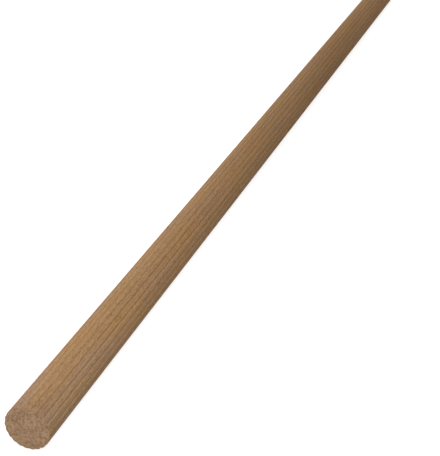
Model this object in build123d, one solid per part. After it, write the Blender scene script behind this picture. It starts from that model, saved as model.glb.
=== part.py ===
"""Fluted hardwood dowel rod.

A round wooden rod with straight flutes cut along its whole length and plain
square-sawn ends. It lies along X with its axis on the origin, a flute
underneath and a flute on top, so it rests on two neighbouring lands.
"""

import os

from build123d import *

# Driving dimensions, in mm
ROD_DIAMETER = 10.0  # over the lands, the size of the hole it fits
ROD_LENGTH = 500.0
FLUTE_COUNT = 22  # an even count puts one flute opposite another
FLUTE_DEPTH = 0.20  # below the lands
FLUTE_FLOOR_RADIUS = 0.30  # the rounded bottom left by the fluting cutter
LAND_EDGE_RADIUS = 0.15  # worn-soft edges between land and flute

# Worked out from the dimensions above
ROD_RADIUS = ROD_DIAMETER / 2
CUTTER_CENTRE_RADIUS = ROD_RADIUS - FLUTE_DEPTH + FLUTE_FLOOR_RADIUS


def sawn_end_plane():
    """The plane of the end at -X. Its own x direction points down, where the first flute is."""
    return Plane(origin=(-ROD_LENGTH / 2, 0, 0), x_dir=(0, 0, -1), z_dir=(1, 0, 0))


def fluted_section():
    """The rod's cross-section: a turned blank, less one cutter path for each flute."""
    with BuildSketch(sawn_end_plane()) as section:
        Circle(ROD_RADIUS)
        with PolarLocations(CUTTER_CENTRE_RADIUS, FLUTE_COUNT):
            Circle(FLUTE_FLOOR_RADIUS, mode=Mode.SUBTRACT)
        fillet(section.vertices(), LAND_EDGE_RADIUS)
    return section.sketch


def fluted_dowel():
    """The section, run straight from one sawn end to the other."""
    return extrude(fluted_section(), amount=ROD_LENGTH, dir=(1, 0, 0))


os.makedirs("parts", exist_ok=True)
export_step(fluted_dowel(), "parts/dowel.step")
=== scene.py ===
"""Fluted hardwood dowel rod: its surface, its wood, and a pale studio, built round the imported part."""

import math

import bpy
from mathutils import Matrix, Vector


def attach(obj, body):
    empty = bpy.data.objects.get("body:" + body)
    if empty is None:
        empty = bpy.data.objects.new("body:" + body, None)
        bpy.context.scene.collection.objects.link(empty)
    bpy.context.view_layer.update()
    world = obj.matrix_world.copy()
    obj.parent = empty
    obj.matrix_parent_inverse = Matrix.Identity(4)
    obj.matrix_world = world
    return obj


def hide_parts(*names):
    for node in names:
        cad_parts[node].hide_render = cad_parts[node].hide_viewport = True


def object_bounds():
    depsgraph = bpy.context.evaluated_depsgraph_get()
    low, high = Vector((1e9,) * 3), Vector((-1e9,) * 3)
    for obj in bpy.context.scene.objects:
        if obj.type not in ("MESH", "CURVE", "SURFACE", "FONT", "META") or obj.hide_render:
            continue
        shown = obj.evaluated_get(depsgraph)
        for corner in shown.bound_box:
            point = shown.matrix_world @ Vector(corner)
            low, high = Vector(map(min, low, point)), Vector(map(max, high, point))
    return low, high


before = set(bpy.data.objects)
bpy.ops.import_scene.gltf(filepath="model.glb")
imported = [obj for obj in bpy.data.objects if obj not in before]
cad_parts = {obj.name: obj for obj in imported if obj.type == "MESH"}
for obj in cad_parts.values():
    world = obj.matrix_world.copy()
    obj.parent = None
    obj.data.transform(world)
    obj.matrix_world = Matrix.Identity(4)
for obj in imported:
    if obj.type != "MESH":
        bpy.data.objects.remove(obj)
part_low, part_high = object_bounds()

MM = 0.001
WHITE = (1.0, 1.0, 1.0)

# The rod, as the part's source has it
ROD_LENGTH = part_high.x - part_low.x
ROD_DIAMETER = part_high.y - part_low.y
REST_HEIGHT = part_low.z
FLUTE_COUNT = 22
FLUTE_DEPTH = 0.20 * MM
FLUTE_FLOOR_RADIUS = 0.30 * MM
LAND_EDGE_RADIUS = 0.15 * MM

# The mesh: steps round the rod are shared by its side and its two sawn ends
STEPS_PER_FLUTE = 20
STEPS_ROUND = FLUTE_COUNT * STEPS_PER_FLUTE
RINGS = 141
STEP_CROWDING = 0.42  # steps crowd towards each flute, where the section bends most
RING_CROWDING = 0.36  # rings crowd towards the ends
WELD_GAP = 0.004 * MM  # points closer than this are joined
TINY = 1e-6  # keeps a division away from zero

# The cutter's depth drifts by this share on either side of its mean share of the full depth
DEPTH_MEAN = 0.94
DEPTH_DRIFT = 0.14

# The saw's teeth: the way across their marks, as (y, z), and the radians of the marks' wave in each mm
SAW_ACROSS = (0.83, 0.56)
SAW_WAVE = 11.0

ROD_SIZES = {
    "Length": ROD_LENGTH,
    "Diameter": ROD_DIAMETER,
    "Flutes": FLUTE_COUNT,
    "Flute Depth": FLUTE_DEPTH,
    "Flute Floor Radius": FLUTE_FLOOR_RADIUS,
    "Land Edge Radius": LAND_EDGE_RADIUS,
    "Sawn Edge": 0.09 * MM,
    "Saw Depth": 0.05 * MM,
    "Steps Round": STEPS_ROUND,
    "Rings": RINGS,
}


# ---------------------------------------------------------------- node helpers


class Term:
    """One value in a node tree. Sums and products of terms add the nodes that work them out."""

    def __init__(self, net, socket):
        self.net = net
        self.socket = socket

    def __add__(self, other):
        return self.net.math("ADD", self, other)

    __radd__ = __add__

    def __sub__(self, other):
        return self.net.math("SUBTRACT", self, other)

    def __rsub__(self, other):
        return self.net.math("SUBTRACT", other, self)

    def __mul__(self, other):
        return self.net.math("MULTIPLY", self, other)

    __rmul__ = __mul__

    def __truediv__(self, other):
        return self.net.math("DIVIDE", self, other)

    def __rtruediv__(self, other):
        return self.net.math("DIVIDE", other, self)

    def __neg__(self):
        return self.net.math("MULTIPLY", self, -1.0)

    def __abs__(self):
        return self.net.math("ABSOLUTE", self)


class Net:
    """A geometry or shader node tree, with short ways to add to it."""

    def __init__(self, tree):
        self.tree = tree

    def plug(self, socket, value):
        """Sets a socket, or links it if the value comes from another node."""
        if isinstance(value, Term):
            value = value.socket
        if isinstance(value, bpy.types.NodeSocket):
            self.tree.links.new(value, socket)
        else:
            socket.default_value = value

    def node(self, kind, inputs=None, **settings):
        """Adds a node with these settings, and plugs in its inputs by name or number."""
        made = self.tree.nodes.new(kind)
        for name, value in settings.items():
            setattr(made, name, value)
        for key, value in (inputs or {}).items():
            self.plug(made.inputs[key], value)
        return made

    def term(self, node, output=0):
        return Term(self, node.outputs[output])

    def math(self, operation, *values):
        numbered = {place: value for place, value in enumerate(values)}
        return self.term(self.node("ShaderNodeMath", numbered, operation=operation))

    def clamp(self, value, low=0.0, high=1.0):
        return self.math("MINIMUM", self.math("MAXIMUM", value, low), high)

    def ramp(self, value, start, end, low=0.0, high=1.0):
        """Low below start, high above end, and an even curve between them."""
        places = {0: value, 1: start, 2: end, 3: low, 4: high}
        made = self.node("ShaderNodeMapRange", places, interpolation_type="SMOOTHSTEP")
        return self.term(made)

    def choose(self, test, when_one, when_zero):
        """One value or the other, by a test that gives 1 or 0."""
        return test * when_one + (1.0 - test) * when_zero

    def vector(self, x, y, z=0.0):
        return self.term(self.node("ShaderNodeCombineXYZ", {0: x, 1: y, 2: z}))

    def parts(self, vector):
        split = self.node("ShaderNodeSeparateXYZ", {0: vector})
        return [self.term(split, axis) for axis in range(3)]

    def noise(self, vector, scale=1.0, detail=2.0, rough=0.5, centred=False):
        """Even noise from 0 to 1, or from about -1 to 1 if centred."""
        made = self.node(
            "ShaderNodeTexNoise",
            {"Vector": vector, "Scale": scale, "Detail": detail, "Roughness": rough},
        )
        value = self.term(made)
        return value * 2.0 - 1.0 if centred else value

    def cells(self, vector):
        """A pattern of cells about one unit wide. Its first output is the distance to a cell's middle."""
        return self.node("ShaderNodeTexVoronoi", {"Vector": vector, "Scale": 1.0})

    def blend(self, share, colour_a, colour_b):
        """From colour a at a share of 0 to colour b at 1."""
        inputs = {0: share}
        for place, colour in ((6, colour_a), (7, colour_b)):
            inputs[place] = (*colour, 1.0) if isinstance(colour, tuple) else colour
        made = self.node("ShaderNodeMix", inputs, data_type="RGBA", clamp_factor=True)
        return self.term(made, 2)

    def tint(self, colour, cast):
        """A colour multiplied by another."""
        inputs = {0: 1.0, 6: colour, 7: cast}
        return self.term(self.node("ShaderNodeMix", inputs, data_type="RGBA", blend_type="MULTIPLY"), 2)


# ------------------------------------------------------------- the rod's shape


def section_group():
    """Node group: a share of a turn round the rod, to an angle and the section's radius there."""
    tree = bpy.data.node_groups.new("Fluted section", "GeometryNodeTree")
    wanted = ("Turn", "Depth Share", "Radius", "Flutes", "Depth", "Floor Radius", "Edge Radius")
    for name in wanted:
        tree.interface.new_socket(name, in_out="INPUT", socket_type="NodeSocketFloat")
    for name in ("Angle", "Radius", "In Flute"):
        tree.interface.new_socket(name, in_out="OUTPUT", socket_type="NodeSocketFloat")
    net = Net(tree)
    given = tree.nodes.new("NodeGroupInput")
    turn, share, rod, flutes, depth, floor, edge = (Term(net, given.outputs[n]) for n in wanted)

    # which flute, and how far from its middle, as a share of the pitch from -0.5 to 0.5
    place = turn * flutes
    number = net.math("FLOOR", place + 0.5)
    offset = place - number
    pitch = 2 * math.pi / flutes
    crowded = offset - net.math("SINE", offset * 2 * math.pi) * (STEP_CROWDING / (2 * math.pi))
    swing = crowded * pitch
    angle = number * pitch + swing
    away = abs(swing)

    # the cutter's circle, and the small arc that eases each land's edge into it
    cutter = rod - depth + floor
    edge_ring = rod - edge
    reach = floor + edge
    cos_gap = (cutter * cutter + edge_ring * edge_ring - reach * reach) / (2.0 * cutter * edge_ring)
    land_start = net.math("ARCCOSINE", cos_gap)
    # where the two arcs meet, along the line that joins their centres
    share_in = floor / reach
    meet_up = cutter + (edge_ring * net.math("COSINE", land_start) - cutter) * share_in
    meet_side = edge_ring * net.math("SINE", land_start) * share_in
    ease_start = net.math("ARCTAN2", meet_side, meet_up)

    def circle(centre, radius, lean, side):
        """How far out a line at this lean meets a circle: on its near side for -1, on its far side for 1."""
        across = centre * net.math("SINE", lean)
        root = net.math("SQRT", net.math("MAXIMUM", radius * radius - across * across, 0.0))
        return centre * net.math("COSINE", lean) + side * root

    groove = circle(cutter, floor, away, -1.0)
    ease = circle(edge_ring, edge, away - land_start, 1.0)
    in_groove = net.math("LESS_THAN", away, ease_start)
    on_land = net.math("GREATER_THAN", away, land_start)
    cut = net.choose(in_groove, groove, ease)
    radius = net.choose(on_land, rod, rod - (rod - cut) * share)

    result = tree.nodes.new("NodeGroupOutput")
    net.plug(result.inputs["Angle"], angle)
    net.plug(result.inputs["Radius"], radius)
    net.plug(result.inputs["In Flute"], (rod - radius) / depth)
    return tree


def rod_tree(side_wood, end_wood):
    """Geometry nodes for the whole rod: a fluted side and two sawn ends, joined into one closed skin."""
    tree = bpy.data.node_groups.new("Fluted rod", "GeometryNodeTree")
    for name, value in ROD_SIZES.items():
        kind = "NodeSocketInt" if isinstance(value, int) else "NodeSocketFloat"
        tree.interface.new_socket(name, in_out="INPUT", socket_type=kind)
    tree.interface.new_socket("Geometry", in_out="OUTPUT", socket_type="NodeSocketGeometry")
    net = Net(tree)
    given = tree.nodes.new("NodeGroupInput")
    named = {s.name: Term(net, s) for s in given.outputs if s.name}
    section = section_group()
    length, rod = named["Length"], named["Diameter"] * 0.5
    px, py, _ = net.parts(net.node("GeometryNodeInputPosition").outputs[0])

    def fluted(turn, x):
        """The section's angle, radius and depth in the flute, cut a little unevenly from place to place."""
        lean = turn * (2 * math.pi)
        spot = net.vector(x * 18.0, net.math("COSINE", lean) * 1.6, net.math("SINE", lean) * 1.6)
        share = DEPTH_MEAN + DEPTH_DRIFT * net.noise(spot, 1.0, 2.0, centred=True)
        inputs = {
            "Turn": turn,
            "Depth Share": share,
            "Radius": rod,
            "Flutes": named["Flutes"],
            "Depth": named["Flute Depth"],
            "Floor Radius": named["Flute Floor Radius"],
            "Edge Radius": named["Land Edge Radius"],
        }
        group = net.node("GeometryNodeGroup", node_tree=section)
        for key, value in inputs.items():
            net.plug(group.inputs[key], value)
        return net.term(group, "Angle"), net.term(group, "Radius"), net.term(group, "In Flute")

    def place(angle, radius, x):
        """A point of the skin. The angle starts at the bottom, in the flute that the rod rests over."""
        return net.vector(x, radius * net.math("SINE", angle), -(radius * net.math("COSINE", angle)))

    def sawn_edge(turn, end, in_flute):
        """How far the corner is broken, which changes from fibre to fibre and is most on the lands."""
        lean = turn * (2 * math.pi)
        spot = net.vector(end * 5.0, net.math("COSINE", lean) * 5.0, net.math("SINE", lean) * 5.0)
        uneven = 0.4 + 1.6 * net.noise(spot, 1.6, 3.0, 0.6)
        return named["Sawn Edge"] * uneven * (1.0 - 0.6 * net.clamp(in_flute))

    def saw_marks(y, z):
        """How deep the saw's teeth and the torn fibres left each spot of a sawn end."""
        across = y * (SAW_ACROSS[0] / MM) + z * (SAW_ACROSS[1] / MM)
        spot = net.vector(y * (1.0 / MM), z * (1.0 / MM))
        teeth = net.math("SINE", across * SAW_WAVE + net.noise(spot, 0.5, 1.0) * 9.0) * 0.5 + 0.5
        hollows = net.noise(spot, 0.55, 2.0)
        fibres = net.noise(spot, 4.0, 2.0)
        return named["Saw Depth"] * (hollows + fibres * 0.5 + teeth * 0.2)

    def marked(mesh, name, value, data_type="FLOAT", domain="POINT"):
        stored = net.node(
            "GeometryNodeStoreNamedAttribute",
            {"Geometry": mesh, "Name": name, "Value": value},
            data_type=data_type,
            domain=domain,
        )
        return stored.outputs[0]

    def moved(mesh, position):
        return net.node("GeometryNodeSetPosition", {"Geometry": mesh, "Position": position}).outputs[0]

    # the side: a sheet wrapped round the axis, with its last ring on each end drawn in by the sawn edge
    sheet = net.node(
        "GeometryNodeMeshGrid",
        {
            "Size X": 1.0,
            "Size Y": 2.0,
            "Vertices X": named["Steps Round"] + 1.0,
            "Vertices Y": named["Rings"] + 2.0,
        },
    )
    turn = px + 0.5
    last = 1.0 - 2.0 / (named["Rings"] + 1.0)
    along = net.clamp(py / last, -1.0, 1.0)
    end = net.math("SIGN", py)
    eased = along * (1.0 + RING_CROWDING * (1.0 - along * along))
    is_rim = net.math("GREATER_THAN", abs(py), last + 0.25 / (named["Rings"] + 1.0))
    x = net.choose(is_rim, end, eased) * length * 0.5
    angle, radius, in_flute = fluted(turn, x)
    broken = sawn_edge(turn, end, in_flute)
    x = x - broken * eased * (1.0 - is_rim)
    skin = place(angle, radius - broken * is_rim, x)
    side = moved(marked(sheet.outputs[0], "flute", in_flute), skin)

    # each end: a square sheet, its edge stretched on to the rim
    patches = []
    for sign in (-1.0, 1.0):
        quarter = named["Steps Round"] / 4.0 + 1.0
        patch = net.node(
            "GeometryNodeMeshGrid",
            {"Size X": 2.0, "Size Y": 2.0, "Vertices X": quarter, "Vertices Y": quarter},
        )
        # each of the sheet's four edges goes an eighth of a turn either way from its middle
        wide = net.math("GREATER_THAN", abs(px) + TINY, abs(py))
        from_sides = net.choose(
            net.math("GREATER_THAN", px, 0.0),
            0.125 * py / net.math("MAXIMUM", abs(px), TINY),
            0.5 - 0.125 * py / net.math("MAXIMUM", abs(px), TINY),
        )
        from_top = net.choose(
            net.math("GREATER_THAN", py, 0.0),
            0.25 - 0.125 * px / net.math("MAXIMUM", abs(py), TINY),
            0.75 + 0.125 * px / net.math("MAXIMUM", abs(py), TINY),
        )
        turn = net.math("WRAP", net.choose(wide, from_sides, from_top), 1.0, 0.0)
        ring = net.math("MAXIMUM", abs(px), abs(py))
        end_x = length * (0.5 * sign)
        angle, radius, in_flute = fluted(turn, end_x)
        rim = radius - sawn_edge(turn, sign, in_flute)
        # inside the rim the flutes fade out and the steps even up
        inner = net.ramp(ring, 0.35, 1.0)
        even_angle = turn * (2 * math.pi)
        angle = even_angle + (angle - even_angle) * inner
        radius = ring * (rod + (rim - rod) * inner)
        marks = saw_marks(radius * net.math("SINE", angle), radius * net.math("COSINE", angle))
        marks = marks * net.ramp(ring, 0.96, 1.0, 1.0, 0.0)
        skin = place(angle, radius, end_x - marks * sign)
        made = marked(moved(patch.outputs[0], skin), "sawn", True, "BOOLEAN", "FACE")
        if sign < 0:
            made = net.node("GeometryNodeFlipFaces", {0: made}).outputs[0]
        patches.append(made)

    joined = tree.nodes.new("GeometryNodeJoinGeometry")
    for piece in (side, *patches):
        tree.links.new(piece, joined.inputs[0])
    whole = net.node("GeometryNodeMergeByDistance", {"Geometry": joined.outputs[0], "Distance": WELD_GAP})
    smooth = net.node("GeometryNodeSetShadeSmooth", {"Geometry": whole.outputs[0]})
    real = net.node("GeometryNodeRealizeInstances", {"Geometry": smooth.outputs[0]})
    on_end = net.node("GeometryNodeInputNamedAttribute", {"Name": "sawn"}, data_type="BOOLEAN")
    sided = net.node("GeometryNodeSetMaterial", {"Geometry": real.outputs[0], "Material": side_wood})
    finished = net.node(
        "GeometryNodeSetMaterial",
        {"Geometry": sided.outputs[0], "Selection": on_end.outputs[0], "Material": end_wood},
    )
    result = tree.nodes.new("NodeGroupOutput")
    net.plug(result.inputs[0], finished.outputs[0])
    return tree


def grown(name, tree, sizes):
    """Runs a geometry tree at these sizes and keeps its result as a plain mesh object at the origin."""
    holder = bpy.data.objects.new(name + " maker", bpy.data.meshes.new(name + " maker"))
    maker = holder.modifiers.new("shape", "NODES")
    maker.node_group = tree
    for socket in tree.interface.items_tree:
        if socket.in_out == "INPUT":
            maker[socket.identifier] = sizes[socket.name]
    bpy.context.scene.collection.objects.link(holder)
    bpy.context.view_layer.update()
    ready = holder.evaluated_get(bpy.context.evaluated_depsgraph_get())
    mesh = bpy.data.meshes.new_from_object(ready)
    bpy.data.objects.remove(holder)
    mesh.name = name
    # a sheet comes with an empty slot in front of the two woods
    while mesh.materials[0] is None:
        mesh.materials.pop(index=0)
    piece = bpy.data.objects.new(name, mesh)
    bpy.context.scene.collection.objects.link(piece)
    return piece


# -------------------------------------------------------------------- the wood

# Linear colours of the raw hardwood
PALE_TAN = (0.426, 0.264, 0.138)
DEEP_TAN = (0.277, 0.152, 0.066)
ORANGE_CAST = (1.030, 1.005, 0.895)
GREY_CAST = (0.980, 0.995, 1.095)
GREEN_CAST = (0.985, 1.008, 1.000)
ROSY_CAST = (1.015, 0.992, 1.000)
# painted cool light near the sawn ends, and a darker cast for the last few mm of each end
PAINTED_COOL_CAST = (0.94, 0.99, 1.10)
END_DARKENING_CAST = (0.90, 0.90, 0.91)
# painted shade and warm bounce light for the flutes
FLUTE_SHADE_TAN = (0.309, 0.169, 0.048)
PORE_BROWN = (0.142, 0.063, 0.022)
RAY_PALE = (0.560, 0.365, 0.205)
SAWN_PALE = (0.505, 0.331, 0.198)
SAWN_DEEP = (0.262, 0.157, 0.091)

# The log, in mm: its rings, and where in it the rod was cut
RING_SPACING = 3.3
RING_WAVER = 1.1
PITH_SIDE, PITH_UP = 24.0, 47.0
LOG_START = 40.0

# How far its fibres run sideways and up in each mm along the rod, and how far they wander on the way, in mm
SLOPE_SIDE, SLOPE_UP = 0.010, -0.006
WANDER = 0.9


class Grain:
    """The log that the rod was cut from, in mm, with its fibres running a little out of line with the rod."""

    def __init__(self, net):
        self.net = net
        place = net.node("ShaderNodeTexCoord").outputs["Object"]
        x, y, z = (axis * (1.0 / MM) for axis in net.parts(place))
        self.x = x + LOG_START
        self.from_end = ROD_LENGTH * 0.5 / MM - abs(x)
        slow = self.x * 0.016
        drift = net.noise(net.vector(slow, 2.0, 5.0), 1.0, 2.0, centred=True)
        sway = net.noise(net.vector(slow, 9.0, 1.0), 1.0, 2.0, centred=True)
        self.y = y + self.x * SLOPE_SIDE + drift * WANDER
        self.z = z + self.x * SLOPE_UP + sway * WANDER
        side, up = self.y + PITH_SIDE, self.z + PITH_UP
        self.from_pith = net.math("SQRT", side * side + up * up)
        self.round_pith = net.math("ARCTAN2", side, up) * self.from_pith
        uneven = net.noise(self.drawn_out(60.0, 5.0), centred=True) * RING_WAVER
        ring = net.math("FRACT", (self.from_pith + uneven) / RING_SPACING)
        # each ring starts with a band of wide pores and ends in dense, darker wood
        self.early = net.ramp(ring, 0.00, 0.07) * net.ramp(ring, 0.26, 0.46, 1.0, 0.0)
        self.late = net.ramp(ring, 0.45, 0.95) * net.ramp(ring, 0.96, 1.0, 1.0, 0.0)

    def drawn_out(self, length, width=1.0):
        """Log coordinates drawn out along the fibres, with a unit of this length and width."""
        return self.net.vector(self.x * (1.0 / length), self.y * (1.0 / width), self.z * (1.0 / width))

    def pores(self, length, width, small, wide):
        """Open vessels of uneven size: nearly one to a cell in a ring's early band, and fewer elsewhere."""
        net = self.net
        cells = net.cells(self.drawn_out(length, width))
        pick, size, _ = net.parts(cells.outputs["Color"])
        rim = (small + self.early * (wide - small)) * (0.6 + size * 0.6)
        shape = net.ramp(net.term(cells), rim * 0.5, rim, 1.0, 0.0)
        return shape * net.math("LESS_THAN", pick, 0.45 + self.early * 0.40)


def side_wood_material():
    """Raw turned hardwood along the grain: fine fibres, bands of long open pores, short rays, faint rings."""
    made = bpy.data.materials.new("Raw hardwood, along the grain")
    made.use_nodes = True
    net = Net(made.node_tree)
    shader = made.node_tree.nodes["Principled BSDF"]
    grain = Grain(net)
    broad = net.noise(grain.drawn_out(70.0, 4.0), 1.0, 2.0)
    cast = net.noise(grain.drawn_out(24.0, 2.2), 1.0, 2.0, 0.6)
    flush = net.noise(grain.drawn_out(14.0, 1.3), 1.0, 4.0, 0.65)
    streak = net.noise(grain.drawn_out(30.0, 0.6), 1.0, 2.0, 0.6)
    fibre = net.noise(grain.drawn_out(1.0, 0.16), 1.0, 2.0, 0.65)
    pore = grain.pores(1.9, 0.34, 0.28, 0.42)
    ray = net.ramp(net.term(net.cells(grain.drawn_out(1.3, 0.42))), 0.08, 0.34, 1.0, 0.0)
    # how deep the tan is: broad figure, streaks, single fibres and late wood, round a mean
    share = 0.42 + (broad - 0.5) * 0.7 + (streak - 0.5) * 0.5 + (fibre - 0.5) * 3.1 + grain.late * 0.15
    body = net.blend(net.clamp(share), PALE_TAN, DEEP_TAN)
    body = net.tint(body, net.blend(net.ramp(cast, 0.35, 0.65), ORANGE_CAST, GREY_CAST))
    body = net.tint(body, net.blend(net.ramp(flush, 0.35, 0.65), GREEN_CAST, ROSY_CAST))
    # painted cool light near the sawn ends, and the wood made darker in the last few mm
    painted_cool = net.blend(net.ramp(grain.from_end, 0.0, 36.0, 1.0, 0.0), WHITE, PAINTED_COOL_CAST)
    end_darkening = net.blend(net.ramp(grain.from_end, 0.0, 7.0, 1.0, 0.0), WHITE, END_DARKENING_CAST)
    body = net.tint(net.tint(body, painted_cool), end_darkening)
    body = net.blend(ray * 0.40, body, RAY_PALE)
    colour = net.blend(pore * 0.38, body, PORE_BROWN)
    # painted shade and bounce light: a darker, warmer tan in the flutes stands in for their shade and for the
    # light that goes from wall to wall there
    in_flute = net.term(net.node("ShaderNodeAttribute", attribute_name="flute"), "Fac")
    colour = net.blend(net.clamp(in_flute) * 0.20, colour, FLUTE_SHADE_TAN)
    net.plug(shader.inputs["Base Color"], colour)
    net.plug(shader.inputs["Roughness"], 0.62 + fibre * 0.18)
    shader.inputs["Specular IOR Level"].default_value = 0.12
    height = fibre * 0.5 - pore
    bump = net.node("ShaderNodeBump", {"Height": height, "Strength": 0.55, "Distance": 0.03 * MM})
    net.plug(shader.inputs["Normal"], bump.outputs[0])
    return made


def end_wood_material():
    """The same wood sawn across: mottled and gritty, with bands of round pores, fine rays and faint rings."""
    made = bpy.data.materials.new("Raw hardwood, sawn across")
    made.use_nodes = True
    net = Net(made.node_tree)
    shader = made.node_tree.nodes["Principled BSDF"]
    grain = Grain(net)
    patch = net.noise(grain.drawn_out(40.0, 1.5), 1.0, 2.0, 0.6)
    mottle = net.noise(grain.drawn_out(8.0, 0.55), 1.0, 2.0, 0.6)
    grit = net.noise(grain.drawn_out(4.0, 0.15), 1.0, 2.0, 0.6)
    pore = grain.pores(4.2, 0.36, 0.36, 0.52)
    ray = net.noise(net.vector(grain.round_pith * 3.6, grain.from_pith * 0.45), 1.0, 1.0)
    fine = (grit - 0.5) * 1.2 + (ray - 0.5) * 0.5 + grain.late * 0.2
    # how deep the tan is: broad patches, mottling and fine grit, round a mean
    share = 0.38 + (patch - 0.5) * 0.9 + (mottle - 0.5) * 2.2 + fine
    body = net.blend(net.clamp(share), SAWN_PALE, SAWN_DEEP)
    colour = net.blend(pore * 0.45, body, PORE_BROWN)
    net.plug(shader.inputs["Base Color"], colour)
    shader.inputs["Roughness"].default_value = 0.85
    shader.inputs["Specular IOR Level"].default_value = 0.10
    height = grit * 0.6 - pore
    bump = net.node("ShaderNodeBump", {"Height": height, "Strength": 0.6, "Distance": 0.05 * MM})
    net.plug(shader.inputs["Normal"], bump.outputs[0])
    return made


side_wood = side_wood_material()
end_wood = end_wood_material()
dowel = grown("fluted_dowel", rod_tree(side_wood, end_wood), ROD_SIZES)
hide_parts("dowel")
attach(dowel, "root")


# ------------------------------------------------------- floor, light and camera


# Daylight by the near end, and what the room's walls and the wood lying about send back
COOL_LIGHT = (0.905, 0.925, 1.0)
WARM_LIGHT = (1.0, 0.90, 0.75)
WALL_LIGHT = (1.0, 0.866, 0.627)
WALL_STRENGTH = 0.228

# The camera: how far it stands from the middle of the near end, its angles in degrees and its lens in mm
CAMERA_FROM_END = (-0.1581, -0.0939, 0.1338)
CAMERA_HEADING = 18.820
CAMERA_TILT = 26.519
CAMERA_LENS = 88.82


def as_background(net):
    """One for a ray that shows the background itself, and none for a ray that carries its light."""
    path = net.node("ShaderNodeLightPath")
    direct = net.math("MAXIMUM", path.outputs["Is Camera Ray"], path.outputs["Is Glossy Ray"])
    return net.math("MAXIMUM", direct, path.outputs["Is Transmission Ray"])


def floor_paper():
    """Grey paper that looks white to the camera, and keeps the rod's soft shadow."""
    made = bpy.data.materials.new("White studio paper")
    made.use_nodes = True
    net = Net(made.node_tree)
    shader = made.node_tree.nodes["Principled BSDF"]
    shader.inputs["Base Color"].default_value = (0.50, 0.50, 0.50, 1)
    shader.inputs["Roughness"].default_value = 0.9
    # the lamps light the paper most beside the rod, so it glows more away from there
    x, y, _ = net.parts(net.node("ShaderNodeTexCoord").outputs["Object"])
    away = net.math("MAXIMUM", abs(y), abs(x) - ROD_LENGTH * 0.5)
    glow = net.node("ShaderNodeEmission", {"Strength": net.ramp(away, 0.03, 0.30, 0.83, 0.94)})
    both = net.node("ShaderNodeAddShader", {0: shader.outputs[0], 1: glow.outputs[0]})
    seen = net.node("ShaderNodeMixShader", {0: as_background(net), 1: shader.outputs[0], 2: both.outputs[0]})
    net.plug(made.node_tree.nodes["Material Output"].inputs["Surface"], seen.outputs[0])
    return made


def studio_floor():
    """A wide sheet of the paper, at the height of the lands that the rod lies on."""
    half = 6.0
    mesh = bpy.data.meshes.new("studio_floor")
    corners = [(x, y, REST_HEIGHT) for x, y in ((-half, -half), (half, -half), (half, half), (-half, half))]
    mesh.from_pydata(corners, [], [(0, 1, 2, 3)])
    made = bpy.data.objects.new("studio_floor", mesh)
    bpy.context.scene.collection.objects.link(made)
    mesh.materials.append(floor_paper())


def lamp(name, place, target, size, power, colour=WHITE, spread=180.0):
    """A round lamp, which the camera doesn't see. The spread is the angle of its beam in degrees."""
    data = bpy.data.lights.new(name, "AREA")
    data.shape = "DISK"
    data.size = size
    data.energy = power
    data.color = colour
    data.spread = math.radians(spread)
    made = bpy.data.objects.new(name, data)
    made.location = place
    made.rotation_euler = (Vector(target) - Vector(place)).to_track_quat("-Z", "Y").to_euler()
    made.visible_camera = False
    bpy.context.scene.collection.objects.link(made)


def studio_world(strength, colour):
    """White where it is seen, and a dim light of this colour elsewhere."""
    world = bpy.data.worlds.new("Studio")
    world.use_nodes = True
    net = Net(world.node_tree)
    background = world.node_tree.nodes["Background"]
    seen = as_background(net)
    net.plug(background.inputs["Color"], net.blend(seen, colour, WHITE))
    net.plug(background.inputs["Strength"], net.choose(seen, 1.0, strength))
    bpy.context.scene.world = world


def studio_camera():
    """Looks down at the near end, with the rod running away to the upper right."""
    near_end = Vector((part_low.x, 0, 0))
    heading = math.radians(CAMERA_HEADING)
    tilt = math.radians(CAMERA_TILT)
    data = bpy.data.cameras.new("camera")
    data.sensor_width = 36.0
    data.lens = CAMERA_LENS
    data.clip_start = 0.01
    data.clip_end = 50.0
    made = bpy.data.objects.new("camera", data)
    made.location = near_end + Vector(CAMERA_FROM_END)
    level = math.cos(tilt)
    ahead = Vector((math.cos(heading) * level, math.sin(heading) * level, -math.sin(tilt)))
    made.rotation_euler = ahead.to_track_quat("-Z", "Y").to_euler()
    bpy.context.scene.collection.objects.link(made)
    bpy.context.scene.camera = made


studio_floor()
studio_world(WALL_STRENGTH, WALL_LIGHT)
lamp("key", (-0.23, 0.03, 0.27), (-0.23, 0.0, 0.0), size=0.30, power=0.306)
lamp("front", (-0.42, -0.10, 0.24), (-0.24, 0.0, 0.0), size=0.24, power=0.76, colour=COOL_LIGHT)
lamp("left", (-0.15, 0.45, 0.12), (-0.15, 0.0, 0.0), size=0.30, power=0.81)
lamp("back", (0.24, -0.07, 0.28), (0.22, 0.0, 0.0), size=0.20, power=0.075, colour=WARM_LIGHT, spread=80.0)
lamp("far", (0.37, 0.03, 0.12), (0.25, 0.0, 0.0), size=0.12, power=0.035, colour=WARM_LIGHT, spread=60.0)
studio_camera()
bpy.context.scene.view_settings.view_transform = "Standard"
